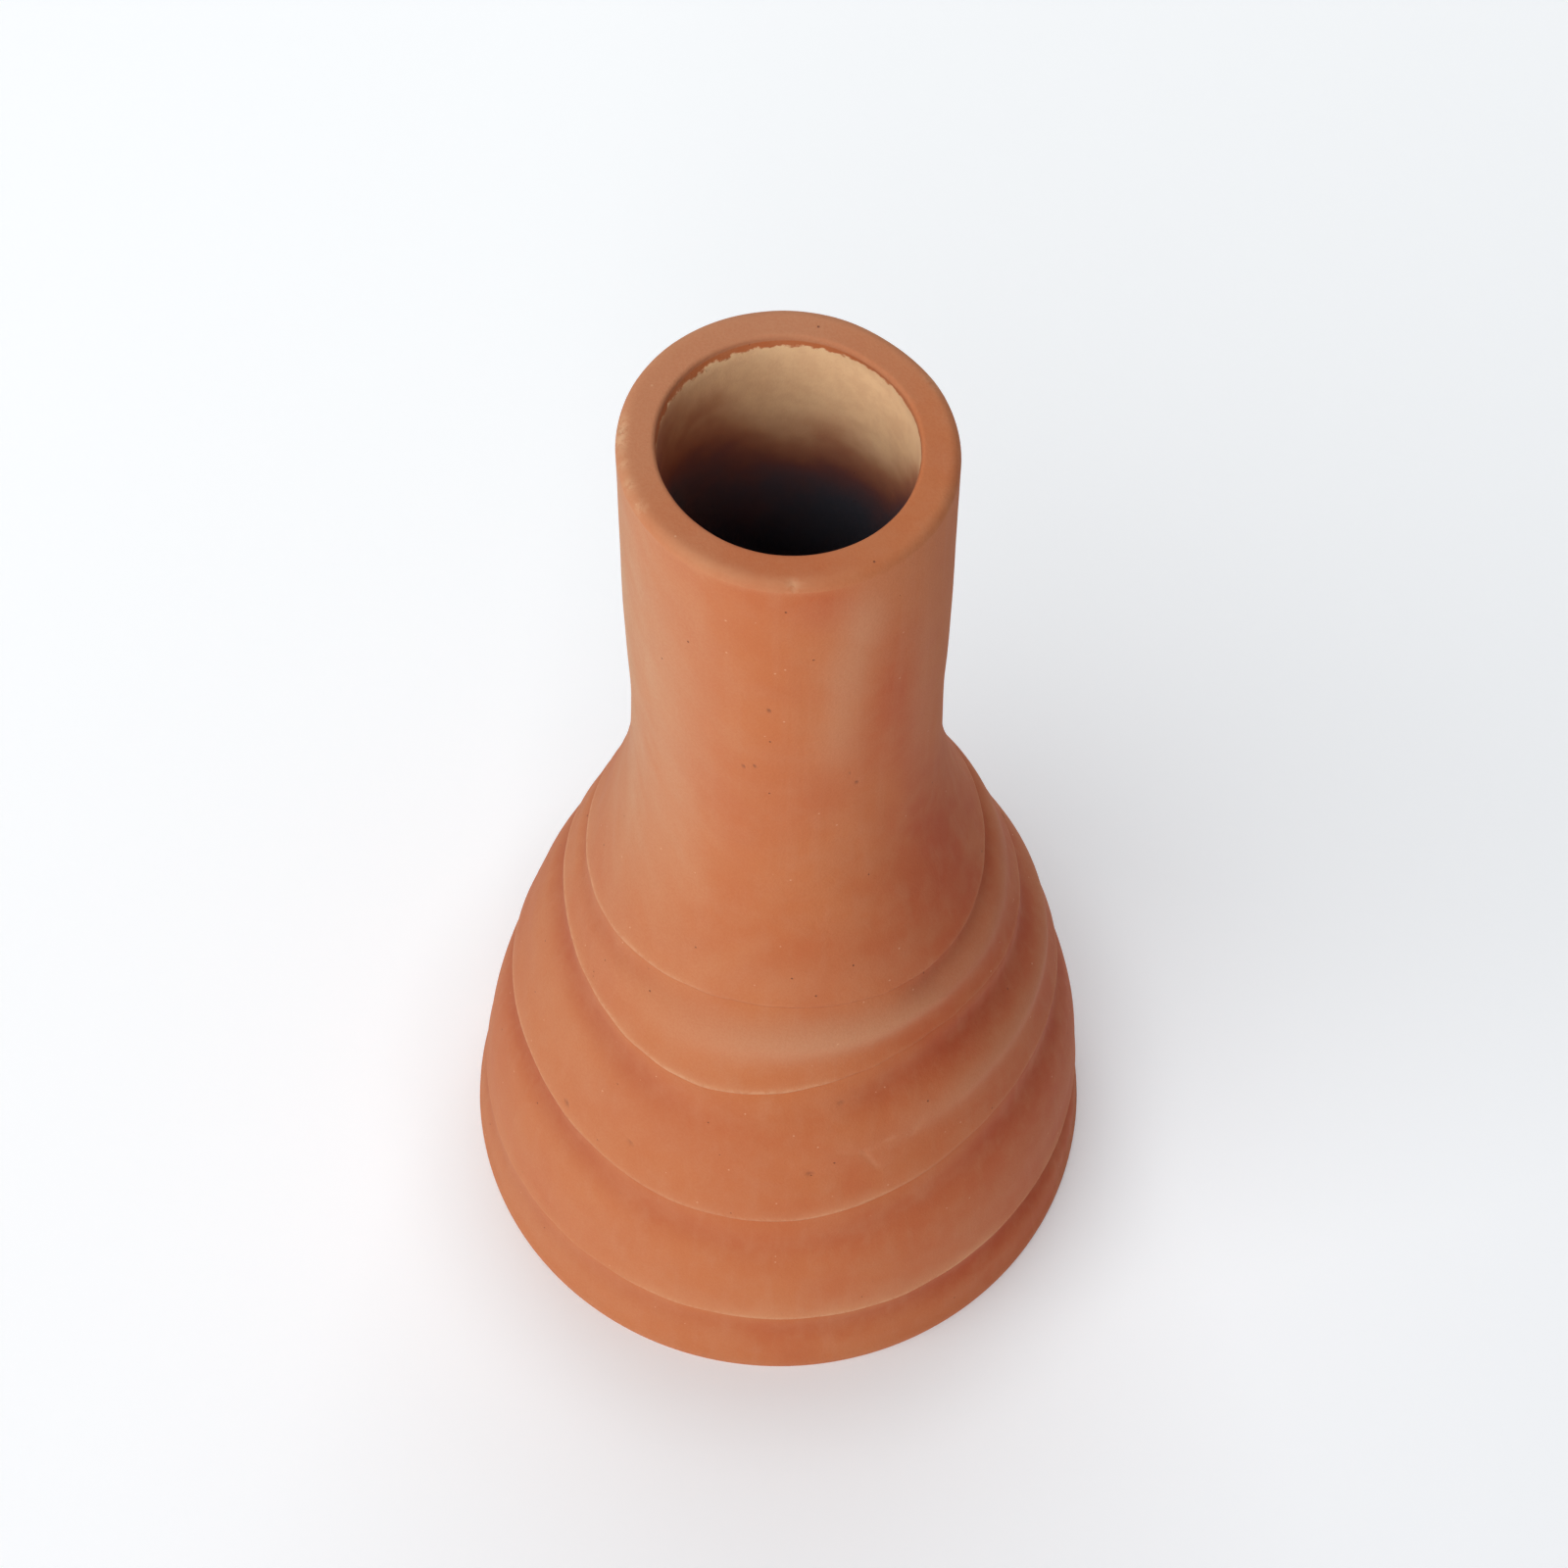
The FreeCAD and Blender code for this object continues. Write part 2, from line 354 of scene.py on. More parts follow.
def dent_field(theta, height):
    """Depth and darkness of the small dents at a place on the wall."""
    depth = np.zeros_like(height)
    dark = np.zeros_like(height)
    radius = outline(height)
    for degrees, at, size, deep, darkness in DENTS:
        across = np.radians(angle_gap(theta, degrees)) * radius
        away = np.hypot(across, (height - at) * DENT_SQUASH) / size
        depth += deep * np.exp(-away**4)
        dark = np.maximum(dark, darkness * np.exp(-(away * 1.1) ** 4))
    return depth, dark


def scratch_field(theta, height):
    """Depth and paleness of the scratches at a place on the wall."""
    depth = np.zeros_like(height)
    pale = np.zeros_like(height)
    for (degrees, start), (end_degrees, finish), half_width, deep in SCRATCHES:
        radius = outline(np.array(start))
        turn = math.radians(end_degrees - degrees) * radius
        rise = finish - start
        length = math.hypot(turn, rise)
        across = np.radians(angle_gap(theta, degrees)) * radius
        along = np.clip((across * turn + (height - start) * rise) / length**2, 0, 1)
        away = np.hypot(across - along * turn, height - start - along * rise) / half_width
        depth += deep * np.exp(-away**2)
        pale = np.maximum(pale, np.exp(-away**2))
    return depth, pale


def cloud_field(theta, height):
    """Amount of each tint at a place on the wall: fired colour, and in part painted light and shade."""
    tints = {tint: np.zeros_like(height) for tint in ("pale", "sand", "red")}
    ragged = CLOUD_RAGGED * wave_noise(theta, height, seed=21, waves=9, climb=0.16)
    for degrees, at, wide, tall, tint, amount in CLOUDS:
        away = np.hypot(angle_gap(theta, degrees) / wide, (height - at) / tall) + ragged
        tints[tint] += amount * np.exp(-np.clip(away, 0, None) ** 2)
    return {tint: np.clip(amount, 0, 1) for tint, amount in tints.items()}


def lip_wear_and_highlight(theta, along, spots, width):
    """Paleness of the outer edge of the mouth, from chips, rubbed clay and painted highlight; along is
    the distance from the edge.
    """
    amount = np.zeros_like(theta)
    for degrees, wide, share in spots:
        amount = np.maximum(amount, share * np.exp(-(angle_gap(theta, degrees) / wide) ** 2))
    return amount * np.exp(-(along / width) ** 2)


# Rubbed places with their painted highlight, then chipped places, on the outer edge of the mouth:
# (degrees, half width in degrees, share).
LIP_RUBBED_AND_HIGHLIGHT = (
    (-75, 40, 0.4), (-25, 34, 0.55), (8, 14, 0.35), (60, 30, 0.1), (150, 50, 0.25), (-140, 30, 0.3),
)
LIP_CHIPS = (
    (-93, 7, 0.9), (-80, 2, 0.5), (-71, 2.5, 0.6), (-61, 2.5, 0.5), (2.5, 2.2, 0.45), (120, 5, 0.3),
)
RUBBED_AND_HIGHLIGHT_WIDTH = 1.3     # how far the rubbed clay and its painted highlight reach from the edge
CHIP_WIDTH = 0.9       # how far the chips reach
CHIP_DEPTH = 0.35      # how deep they are
LIP_DIP = 0.12         # unevenness of the lip's flat top
# Paleness of the flat lip around the mouth: (degrees, share).
LIP_PALE = (
    (-180, 0.95), (-130, 0.85), (-90, 0.8), (-45, 0.4), (0, 0.15), (60, 0.1), (100, 0.2), (145, 0.6),
)
# Painted shade down the bore: depth below the lip at which it starts to darken the pale slip, and at
# which it is full: (degrees, millimetres).
BORE_SHADE_FROM = (
    (-180, 17), (-135, 0), (-90, -12), (-45, -12), (0, 0), (50, 2), (90, 4), (135, 18),
)
BORE_SHADE_FULL = (
    (-180, 45), (-135, 38), (-90, 26), (-45, 20), (0, 22), (50, 22), (90, 26), (135, 44),
)


# --- mesh helpers -----------------------------------------------------------------------------
COLUMNS = 600
THETA = np.linspace(-math.pi, math.pi, COLUMNS, endpoint=False)
HOLDING = 0.05         # a row this close to a plain joint keeps the shading smooth across it


def graded(length, fine_top, fine_bottom, fine=0.28, coarse=0.85, reach=5.0):
    """Shares from 0 to 1 down a wall, closer together near an end that is fine."""
    places, at = [0.0], 0.0
    while at < length:
        near = min(at if fine_top else length, length - at if fine_bottom else length)
        at += fine + (coarse - fine) * min(1.0, near / reach)
        places.append(at)
    places = np.array(places) * length / places[-1]
    if not fine_top:
        places = np.insert(places, 1, HOLDING)
    if not fine_bottom:
        places = np.insert(places, -1, length - HOLDING)
    return places / length


def grid_points(radius, height):
    """Rows of points around the axis, in metres, from radius and height rows."""
    radius, height = np.broadcast_arrays(radius, height)
    theta = np.broadcast_to(THETA, radius.shape)
    return np.stack([radius * np.sin(theta), -radius * np.cos(theta), height], axis=-1) * MM


def closed_ring_mesh(name, rows, joints, marks):
    """Closed ring from blocks of rows that run down the outside and back up the inside.

    Blocks listed in joints are the hidden faces against the next section.  They are shaded flat,
    so that the outer wall keeps clean shading right up to its edges."""
    points = np.concatenate([grid_points(r, h) for r, h in rows])
    count = len(points)
    starts = np.cumsum([0] + [block_length(block) for block in rows])
    smooth = np.ones((count, COLUMNS), bool)
    for block in joints:
        smooth[starts[block] - 1:starts[block + 1]] = False
    base = np.arange(count)[:, None] * COLUMNS + np.arange(COLUMNS)[None, :]
    right = np.roll(base, -1, axis=1)
    below, below_right = np.roll(base, -1, axis=0), np.roll(right, -1, axis=0)
    faces = np.stack([base, below, below_right, right], axis=-1).reshape(-1, 4)
    return make_object(name, points.reshape(-1, 3), faces, marks, smooth)


def open_faces(rows, columns):
    """Four-sided faces between rows of points that close around the axis."""
    base = np.arange(rows - 1)[:, None] * columns + np.arange(columns)[None, :]
    right = np.roll(base, -1, axis=1)
    return np.stack([base, base + columns, right + columns, right], axis=-1).reshape(-1, 4)


def block_length(block):
    """Number of rows in a block."""
    return np.broadcast(*block).shape[0]


def make_object(name, points, faces, marks, smooth=None):
    """Object from points and four-sided faces, with each mark as a value at every point."""
    mesh = bpy.data.meshes.new(name)
    mesh.vertices.add(len(points))
    mesh.vertices.foreach_set("co", points.astype(np.float32).ravel())
    mesh.loops.add(faces.size)
    mesh.loops.foreach_set("vertex_index", faces.astype(np.int32).ravel())
    mesh.polygons.add(len(faces))
    mesh.polygons.foreach_set("loop_start", np.arange(0, faces.size, faces.shape[1], dtype=np.int32))
    mesh.update(calc_edges=True)
    mesh.validate()
    shading = np.ones(len(mesh.polygons), bool) if smooth is None else smooth.ravel()
    mesh.polygons.foreach_set("use_smooth", shading)
    for key, values in marks.items():
        layer = mesh.attributes.new(key, "FLOAT", "POINT")
        layer.data.foreach_set("value", values.astype(np.float32).ravel())
    piece = bpy.data.objects.new(name, mesh)
    bpy.context.scene.collection.objects.link(piece)
    return piece


MARKS = ("worn_and_highlight", "ridge", "pit", "pale", "sand", "red", "dark", "bare", "deep")


def blank_marks(shape):
    """A value of zero at every point for each mark that the clay material reads."""
    return {key: np.zeros(shape) for key in MARKS}


# --- sections ---------------------------------------------------------------------------------
# The clay walls from the top down.
SECTIONS = ("neck", "shoulder", "upper_collar", "middle_collar", "lower_collar", "foot_band")


def section_edge(name):
    """Height of a section's lower edge around the pot."""
    if name == "neck":
        return np.full_like(THETA, NECK_FOOT)
    if name == "foot_band":
        return np.zeros_like(THETA)
    return crest_height(name, THETA)


def inner_radius(theta, height):
    """Radius of the smooth inside of the body."""
    bore = BORE_RADIUS + BORE_WAVER * wave_noise(theta, height, seed=31, waves=2, climb=0.05)
    wall = WALL + WALL_WAVER * wave_noise(theta, height, seed=37, waves=3, climb=0.08)
    flare = outline(height) - wall
    blend = np.clip((NECK_FOOT + FLARE_FROM - height) / FLARE_OVER, 0, 1)
    blend = blend * blend * (3 - 2 * blend)
    return np.minimum(bore + (flare - bore) * blend, FLOOR_RADIUS - INSIDE_TAPER * height)


def wall_rows(name, above, top, bottom):
    """Outer rows of a section with their marks, from its top edge to its bottom edge."""
    length = float(np.mean(top - bottom))
    shares = graded(length, above in CRESTS, name in CRESTS)[:, None]
    height = top + (bottom - top) * shares
    theta = np.broadcast_to(THETA, height.shape)
    radius = outside_radius(name, above, theta, height, top, bottom)
    depth, dark = dent_field(theta, height)
    scratched, pale_line = scratch_field(theta, height)
    radius = radius - depth - scratched
    marks = blank_marks(height.shape)
    marks["pit"] = dark
    marks.update(cloud_field(theta, height))
    if name in WALLS:
        hollow, swell = hollow_and_swell(WALLS[name], theta, top - height, shares)
        # Painted shade: the hollows under the crests are painted redder and browner.  Painted light: the
        # swells are painted paler.
        marks["red"] = np.clip(marks["red"] + HOLLOW_SHADE_RED * hollow, 0, 1)
        marks["dark"] = np.clip(HOLLOW_SHADE_DARK * hollow, 0, 1)
        marks["pale"] = np.clip(marks["pale"] + SWELL_PAINTED_LIGHT * swell, 0, 1)
    if name in CRESTS:
        # Paler clay along the crest: partly rubbed clay, partly painted highlight.
        marks["ridge"], marks["worn_and_highlight"] = crest_wear_and_highlight(name, theta, height - bottom)
    broken = np.clip(0.6 + 0.6 * wave_noise(theta, height, seed=41, waves=45, climb=1.3), 0, 1)
    marks["ridge"] = np.maximum(marks["ridge"], SCRATCH_PALE * pale_line * broken)
    return radius, height, marks


def crest_wear_and_highlight(name, theta, rise):
    """Paler clay above the edge of a crest, in patches: partly rubbed and worn clay, partly painted
    highlight.
    """
    patchy = np.clip(0.8 + 0.35 * wave_noise(theta, 0 * rise, seed=5, waves=11, climb=0.3), 0, 1)
    rubbed_and_highlight = around(CRESTS[name]["pale"], theta) * patchy
    ridge = rubbed_and_highlight * np.exp(-rise / CRESTS[name]["rubbed_and_highlight"])
    worn_and_highlight = WORN_HIGHLIGHT_SHARE * rubbed_and_highlight * np.exp(-((rise - WORN_HIGHLIGHT_AT) / WORN_HIGHLIGHT_WIDTH) ** 2)
    return ridge, worn_and_highlight


def body_section(name, above, top, bottom):
    """Closed ring from one crest down to the next, or to the table."""
    radius, height, marks = wall_rows(name, above, top, bottom)
    if name == "foot_band":
        tuck = FOOT_TUCK * np.clip(1 - height / FOOT_ROUND, 0, 1) ** 2
        radius = np.minimum(radius, CAD_RADIUS - CAD_MARGIN) - tuck
        height[-1] = 0.0
    floor = FLOOR_TOP if name == "foot_band" else None
    steps = np.linspace(0, 1, max(4, int(np.mean(top - bottom) / INSIDE_ROWS)))[:, None]
    low = np.full_like(THETA, floor) if floor else bottom
    inner_height = low + (top - low) * steps
    inner = inner_radius(np.broadcast_to(THETA, inner_height.shape), inner_height)
    if floor:
        seat = np.linspace(0, 1, 3)[:, None] * (floor - FLOOR_EDGE) + 0 * THETA
        inner_height = np.concatenate([seat, inner_height])
        inner = np.concatenate([np.full_like(seat, FLOOR_RADIUS), inner])
    under = (between(radius[-1], inner[0]), between(height[-1], inner_height[0]))
    over = (between(inner[-1], radius[0]), between(inner_height[-1], height[0]))
    rows = [(radius, height), under, (inner, inner_height), over]
    return close_section(name, rows, (1, 3), marks)


def between(start, finish):
    """Three rows evenly spaced between two rows."""
    return np.linspace(start, finish, 5)[1:-1]


def close_section(name, rows, joints, outer_marks, more_marks=None):
    """Join the rows into one closed ring and pad the marks over the hidden rows."""
    total = sum(block_length(block) for block in rows)
    marks = blank_marks((total, COLUMNS))
    outer = outer_marks["pit"].shape[0]
    for key, values in outer_marks.items():
        marks[key][:outer] = values
    marks["bare"][outer:] = 1.0
    # The inside of the walls is painted dark all over, as painted shade.
    marks["deep"][outer:] = 1.0
    for key, (start, values) in (more_marks or {}).items():
        marks[key][start:start + len(values)] = values
    return closed_ring_mesh("clay_" + name, rows, joints, marks)


def lip_outline(samples=9):
    """Rows across the lip, from the bore up over the edge and down, as (radius, height)."""
    turn = np.linspace(0, math.pi / 2, samples)
    inner_edge = [
        (MOUTH_RADIUS - MOUTH_ROUND * math.cos(a), HEIGHT - MOUTH_ROUND * (1 - math.sin(a))) for a in turn
    ]
    flat = [(r, HEIGHT) for r in np.linspace(MOUTH_RADIUS, FLAT_RADIUS, 9)[1:-1]]
    outer_edge = [
        (FLAT_RADIUS + LIP_ROUND * math.sin(a), HEIGHT - LIP_ROUND * (1 - math.cos(a))) for a in turn
    ]
    return np.array(inner_edge + flat + outer_edge[:-1])


def lip_rows(wall_top):
    """Radius and height over the lip, with its marks.  The outer edge meets the top of the wall."""
    lip = lip_outline()
    uneven = unevenness(THETA, np.full_like(THETA, HEIGHT))
    outer_share = np.clip((lip[:, :1] - FLAT_RADIUS) / (LIP_ROUND - 0.02), 0, 1)
    reach = wall_top - (FLAT_RADIUS + LIP_ROUND) - uneven
    radius = lip[:, :1] + uneven * (lip[:, :1] / RIM_RADIUS) + outer_share * reach
    waver = wave_noise(THETA, 0 * THETA, seed=13, waves=2, climb=0.0)
    dip = LIP_DIP * (1 + waver) * np.ones_like(lip[:, :1])
    edge_gap = np.abs(lip[:, :1] - EDGE_RADIUS) + 0 * THETA
    theta = np.broadcast_to(THETA, edge_gap.shape)
    chipped = lip_wear_and_highlight(theta, edge_gap, LIP_CHIPS, CHIP_WIDTH)
    # Rubbed clay with painted highlight on the lip's outer edge.
    rubbed_and_highlight = lip_wear_and_highlight(theta, edge_gap, LIP_RUBBED_AND_HIGHLIGHT, RUBBED_AND_HIGHLIGHT_WIDTH)
    speckle = wave_noise(THETA, edge_gap * 3, seed=17, waves=31, climb=1.1, layers=5)
    grit = np.clip(0.5 + speckle, 0, 1)
    height = lip[:, 1:] - dip - CHIP_DEPTH * chipped * grit
    return radius, height, {"worn_and_highlight": chipped, "ridge": rubbed_and_highlight, "pale": around(LIP_PALE, theta)}


def bore_rows(bottom):
    """Radius, height and painted shade of the slip inside the neck, from its foot up to the bevel."""
    steps = np.linspace(0, 1, 34)[:, None]
    height = bottom + (HEIGHT - MOUTH_ROUND - BEVEL - bottom) * steps
    theta = np.broadcast_to(THETA, height.shape)
    radius = inner_radius(theta, height)
    shade_from, shade_full = around(BORE_SHADE_FROM, theta), around(BORE_SHADE_FULL, theta)
    deep = np.clip((HEIGHT - height - shade_from) / (shade_full - shade_from), 0, 1)
    return radius, height, deep


def neck_section():
    """Tube with the flat lip and the bevelled mouth."""
    top = np.full_like(THETA, HEIGHT - LIP_ROUND)
    bottom = section_edge("neck")
    radius, height, marks = wall_rows("neck", "", top, bottom)
    lip_radius, lip_height, lip_marks = lip_rows(radius[0])
    inner, inner_height, deep = bore_rows(bottom)
    bevel_share = np.linspace(0, 1, 6)[1:-1, None]
    bevel_height = inner_height[-1] + (lip_height[0] - inner_height[-1]) * bevel_share
    bevel = inner[-1] + (lip_radius[0] - inner[-1]) * bevel_share
    joint = between(radius[-1], inner[0])
    rows = [(radius, height), (joint, np.full_like(joint, NECK_FOOT)), (inner, inner_height),
            (bevel, bevel_height), (lip_radius, lip_height)]
    starts = np.cumsum([0] + [block_length(block) for block in rows])
    bore_start, lip_start = starts[2], starts[4]
    theta = np.broadcast_to(THETA, height.shape)
    edge_gap = HEIGHT - LIP_ROUND - height + EDGE_TO_WALL
    marks["worn_and_highlight"] = lip_wear_and_highlight(theta, edge_gap, LIP_CHIPS, CHIP_WIDTH)
    # Rubbed clay with painted highlight where the lip's edge turns down into the wall.
    marks["ridge"] = lip_wear_and_highlight(theta, edge_gap, LIP_RUBBED_AND_HIGHLIGHT, RUBBED_AND_HIGHLIGHT_WIDTH)
    more_marks = {key: (lip_start, values) for key, values in lip_marks.items()}
    more_marks["bare"] = (lip_start, np.zeros_like(lip_marks["pale"]))
    # Painted shade down the bore.
    more_marks["deep"] = (bore_start, np.concatenate([deep, np.zeros_like(bevel)]))
    return close_section("neck", rows, (1,), marks, more_marks)


def floor_section():
    """Flat slab inside the foot band, with a softly uneven upper face."""
    edge = FLOOR_RADIUS - SEAT_GAP
    inner = np.linspace(2.0, FLOOR_RADIUS - 1.5, 30)
    ring = np.concatenate([[POLE], inner, [FLOOR_RADIUS - FLOOR_EDGE, edge]])[:, None]
    swirl = FLOOR_SWIRL * np.sin(ring * SWIRL_TURN + THETA) * np.exp(-(ring / SWIRL_REACH) ** 2)
    upper = np.minimum(FLOOR_TOP - FLOOR_SINK + swirl, FLOOR_TOP)
    upper[0] = upper[0].mean()
    upper[-1] = FLOOR_TOP - FLOOR_BEVEL
    side = np.linspace(FLOOR_TOP - SIDE_TOP, SIDE_FOOT, 5)[:, None] + 0 * THETA
    under = ring[::-1] + 0 * THETA
    under[0] = FLOOR_RADIUS - UNDER_EDGE
    rows = [(ring + 0 * THETA, upper), (np.full_like(side, edge), side), (under, 0 * under)]
    points = np.concatenate([grid_points(r, h) for r, h in rows])
    count = len(points)
    faces = open_faces(count, COLUMNS)
    marks = blank_marks((count, COLUMNS))
    marks["bare"][:] = 1.0
    # The slab is painted dark all over, as painted shade.
    marks["deep"][:] = 1.0
    piece = make_object("clay_floor_disc", points.reshape(-1, 3), faces, marks)
    close_poles(piece)
    return piece


def close_poles(piece):
    """Merge the tight first and last rings of the slab into single points."""
    work = bmesh.new()
    work.from_mesh(piece.data)
    bmesh.ops.remove_doubles(work, verts=work.verts, dist=0.00002)
    work.to_mesh(piece.data)
    work.free()


# --- materials --------------------------------------------------------------------------------
class Nodes:
    """Short calls for building one node tree."""

    def __init__(self, name):
        self.material = bpy.data.materials.new(name)
        self.material.use_nodes = True
        self.tree = self.material.node_tree
        self.shader = self.tree.nodes["Principled BSDF"]
        self.place = self.add("ShaderNodeTexCoord").outputs["Object"]

    def add(self, kind, **settings):
        """New node with settings."""
        node = self.tree.nodes.new(kind)
        for key, value in settings.items():
            setattr(node, key, value)
        return node

    def link(self, source, target):
        """Wire an output to an input."""
        self.tree.links.new(source, target)

    def put(self, socket, value):
        """Give an input either an output to follow or a plain value."""
        if isinstance(value, bpy.types.NodeSocket):
            self.link(value, socket)
        else:
            socket.default_value = value

    def math(self, operation, first, second=0.0, clamp=False):
        """Result of arithmetic on two values."""
        node = self.add("ShaderNodeMath", operation=operation, use_clamp=clamp)
        self.put(node.inputs[0], first)
        self.put(node.inputs[1], second)
        return node.outputs[0]

    def stretch(self, x, y, z):
        """Place on the object with each axis scaled."""
        node = self.add("ShaderNodeMapping")
        self.link(self.place, node.inputs["Vector"])
        node.inputs["Scale"].default_value = (x, y, z)
        return node.outputs[0]

    def noise(self, scale, detail, rough, where=None, distortion=0.0):
        """Cloudy value from 0 to 1; the scale is in features per metre."""
        node = self.add("ShaderNodeTexNoise")
        self.link(where or self.place, node.inputs["Vector"])
        node.inputs["Scale"].default_value = scale
        node.inputs["Detail"].default_value = detail
        node.inputs["Roughness"].default_value = rough
        node.inputs["Distortion"].default_value = distortion
        return node.outputs["Fac"]

    def span(self, value, low, high, to_low=0.0, to_high=1.0):
        """Smooth step from to_low to to_high while the value goes from low to high."""
        node = self.add("ShaderNodeMapRange", interpolation_type="SMOOTHSTEP")
        self.put(node.inputs["Value"], value)
        node.inputs["From Min"].default_value = low
        node.inputs["From Max"].default_value = high
        node.inputs["To Min"].default_value = to_low
        node.inputs["To Max"].default_value = to_high
        return node.outputs["Result"]

    def mix(self, amount, first, second):
        """Blend of two colours."""
        node = self.add("ShaderNodeMix", data_type="RGBA")
        self.put(node.inputs["Factor"], amount)
        self.put(node.inputs[6], first)
        self.put(node.inputs[7], second)
        return node.outputs[2]

    def mark(self, name):
        """Value of a mark on the mesh."""
        return self.add("ShaderNodeAttribute", attribute_name=name).outputs["Fac"]

    def specks(self, scale, size, keep):
        """Sparse round specks: 1 inside a speck, 0 elsewhere."""
        cells = self.add("ShaderNodeTexVoronoi")
        self.link(self.place, cells.inputs["Vector"])
        cells.inputs["Scale"].default_value = scale
        spot = self.span(cells.outputs["Distance"], size * 0.45, size, 1.0, 0.0)
        part = self.add("ShaderNodeSeparateColor")
        self.link(cells.outputs["Color"], part.inputs["Color"])
        chosen = self.math("LESS_THAN", part.outputs["Red"], keep)
        return self.math("MULTIPLY", spot, chosen)

    def bump(self, height, strength, distance, normal=None):
        """Normal with relief added; the distance is in metres."""
        node = self.add("ShaderNodeBump")
        self.put(node.inputs["Height"], height)
        node.inputs["Strength"].default_value = strength
        node.inputs["Distance"].default_value = distance
        if normal:
            self.link(normal, node.inputs["Normal"])
        return node.outputs["Normal"]


CLAY = (0.58, 0.180, 0.064, 1)
CLAY_PALE = (0.62, 0.275, 0.145, 1)
CLAY_RED = (0.50, 0.094, 0.031, 1)
# Colour of the painted shade in the hollows.
CLAY_PAINTED_SHADE = (0.33, 0.05, 0.018, 1)
CLAY_SAND = (0.62, 0.36, 0.215, 1)
CLAY_OCHRE = (0.61, 0.205, 0.073, 1)
# Paler clay of chips, specks and rubbing; on the crests and the lip's edge it is partly painted
# highlight.
CLAY_CHIP_AND_HIGHLIGHT = (0.80, 0.50, 0.30, 1)
CLAY_RUBBED_AND_HIGHLIGHT = (0.72, 0.36, 0.19, 1)
SLIP = (0.98, 0.65, 0.37, 1)
# Colours of the painted shade down the bore and inside the walls.
BORE_SHADE_BROWN = (0.36, 0.11, 0.075, 1)
INSIDE_SHADE = (0.12, 0.13, 0.17, 1)
PIT = (0.20, 0.07, 0.045, 1)
PAPER = (0.81, 0.83, 0.86, 1)
PAPER_BRIGHT = (0.885, 0.905, 0.925, 1)
PAPER_FAR = (0.55, 0.56, 0.58, 1)
SLIP_TOP = (0.0042, 0.0036)    # depth in metres below the mouth over which the slip's edge fades
SLIP_RAGGED = 0.0034           # how far up the edge of the slip runs at most


def clay_body(n):
    """Fired colour with its large clouds, which are partly painted light and shade, with painted shade in
    the hollows and painted light on the swells.
    """
    clouds = n.span(n.noise(26, 3, 0.5, distortion=0.4), 0.42, 0.66)
    ochre = n.span(n.noise(17, 2, 0.5), 0.40, 0.68)
    colour = n.mix(n.math("MULTIPLY", ochre, 0.55), CLAY, CLAY_OCHRE)
    colour = n.mix(n.math("MULTIPLY", clouds, 0.28), colour, CLAY_RED)
    # The red mark holds the red clouds and the painted shade of the hollows; the dark mark holds only
    # that painted shade.
    colour = n.mix(n.mark("red"), colour, CLAY_RED)
    colour = n.mix(n.mark("dark"), colour, CLAY_PAINTED_SHADE)
    # The sand and pale clouds are partly painted light; the pale mark also holds the painted light of the
    # swells.
    colour = n.mix(n.mark("sand"), colour, CLAY_SAND)
    return n.mix(n.mark("pale"), colour, CLAY_PALE)


def clay_texture(n, colour, mottle, streaks, grain, fine_pits):
    """Mottling, wipe streaks, grain, pale specks and fine pits over the body colour."""
    colour = n.mix(n.span(mottle, 0.35, 0.7, 0.0, 0.22), colour, CLAY_PALE)
    colour = n.mix(n.span(streaks, 0.45, 0.75, 0.0, 0.14), colour, CLAY_PALE)
    colour = n.mix(n.span(grain, 0.3, 0.7, 0.16, 0.0), colour, CLAY_RED)
    pale_specks = n.specks(600, 0.16, 0.03)
    colour = n.mix(n.math("MULTIPLY", pale_specks, 0.5), colour, CLAY_CHIP_AND_HIGHLIGHT)
    return n.mix(n.math("MULTIPLY", fine_pits, 0.75), colour, PIT)


def clay_wear_and_highlight(n, colour, mottle, worn_and_highlight):
    """Chipped edges, rubbed crests and lip with their painted highlight, and the dark of the small dents.
    """
    # Chips are real; the paler line and rubbed clay along the crests and the lip's edge are partly
    # painted highlight.
    colour = n.mix(n.math("MULTIPLY", worn_and_highlight, 0.85), colour, CLAY_CHIP_AND_HIGHLIGHT)
    rubbed_and_highlight = n.math("MULTIPLY", n.mark("ridge"), n.span(mottle, 0.25, 0.6, 0.55, 0.75))
    colour = n.mix(rubbed_and_highlight, colour, CLAY_RUBBED_AND_HIGHLIGHT)
    return n.mix(n.mark("pit"), colour, PIT)


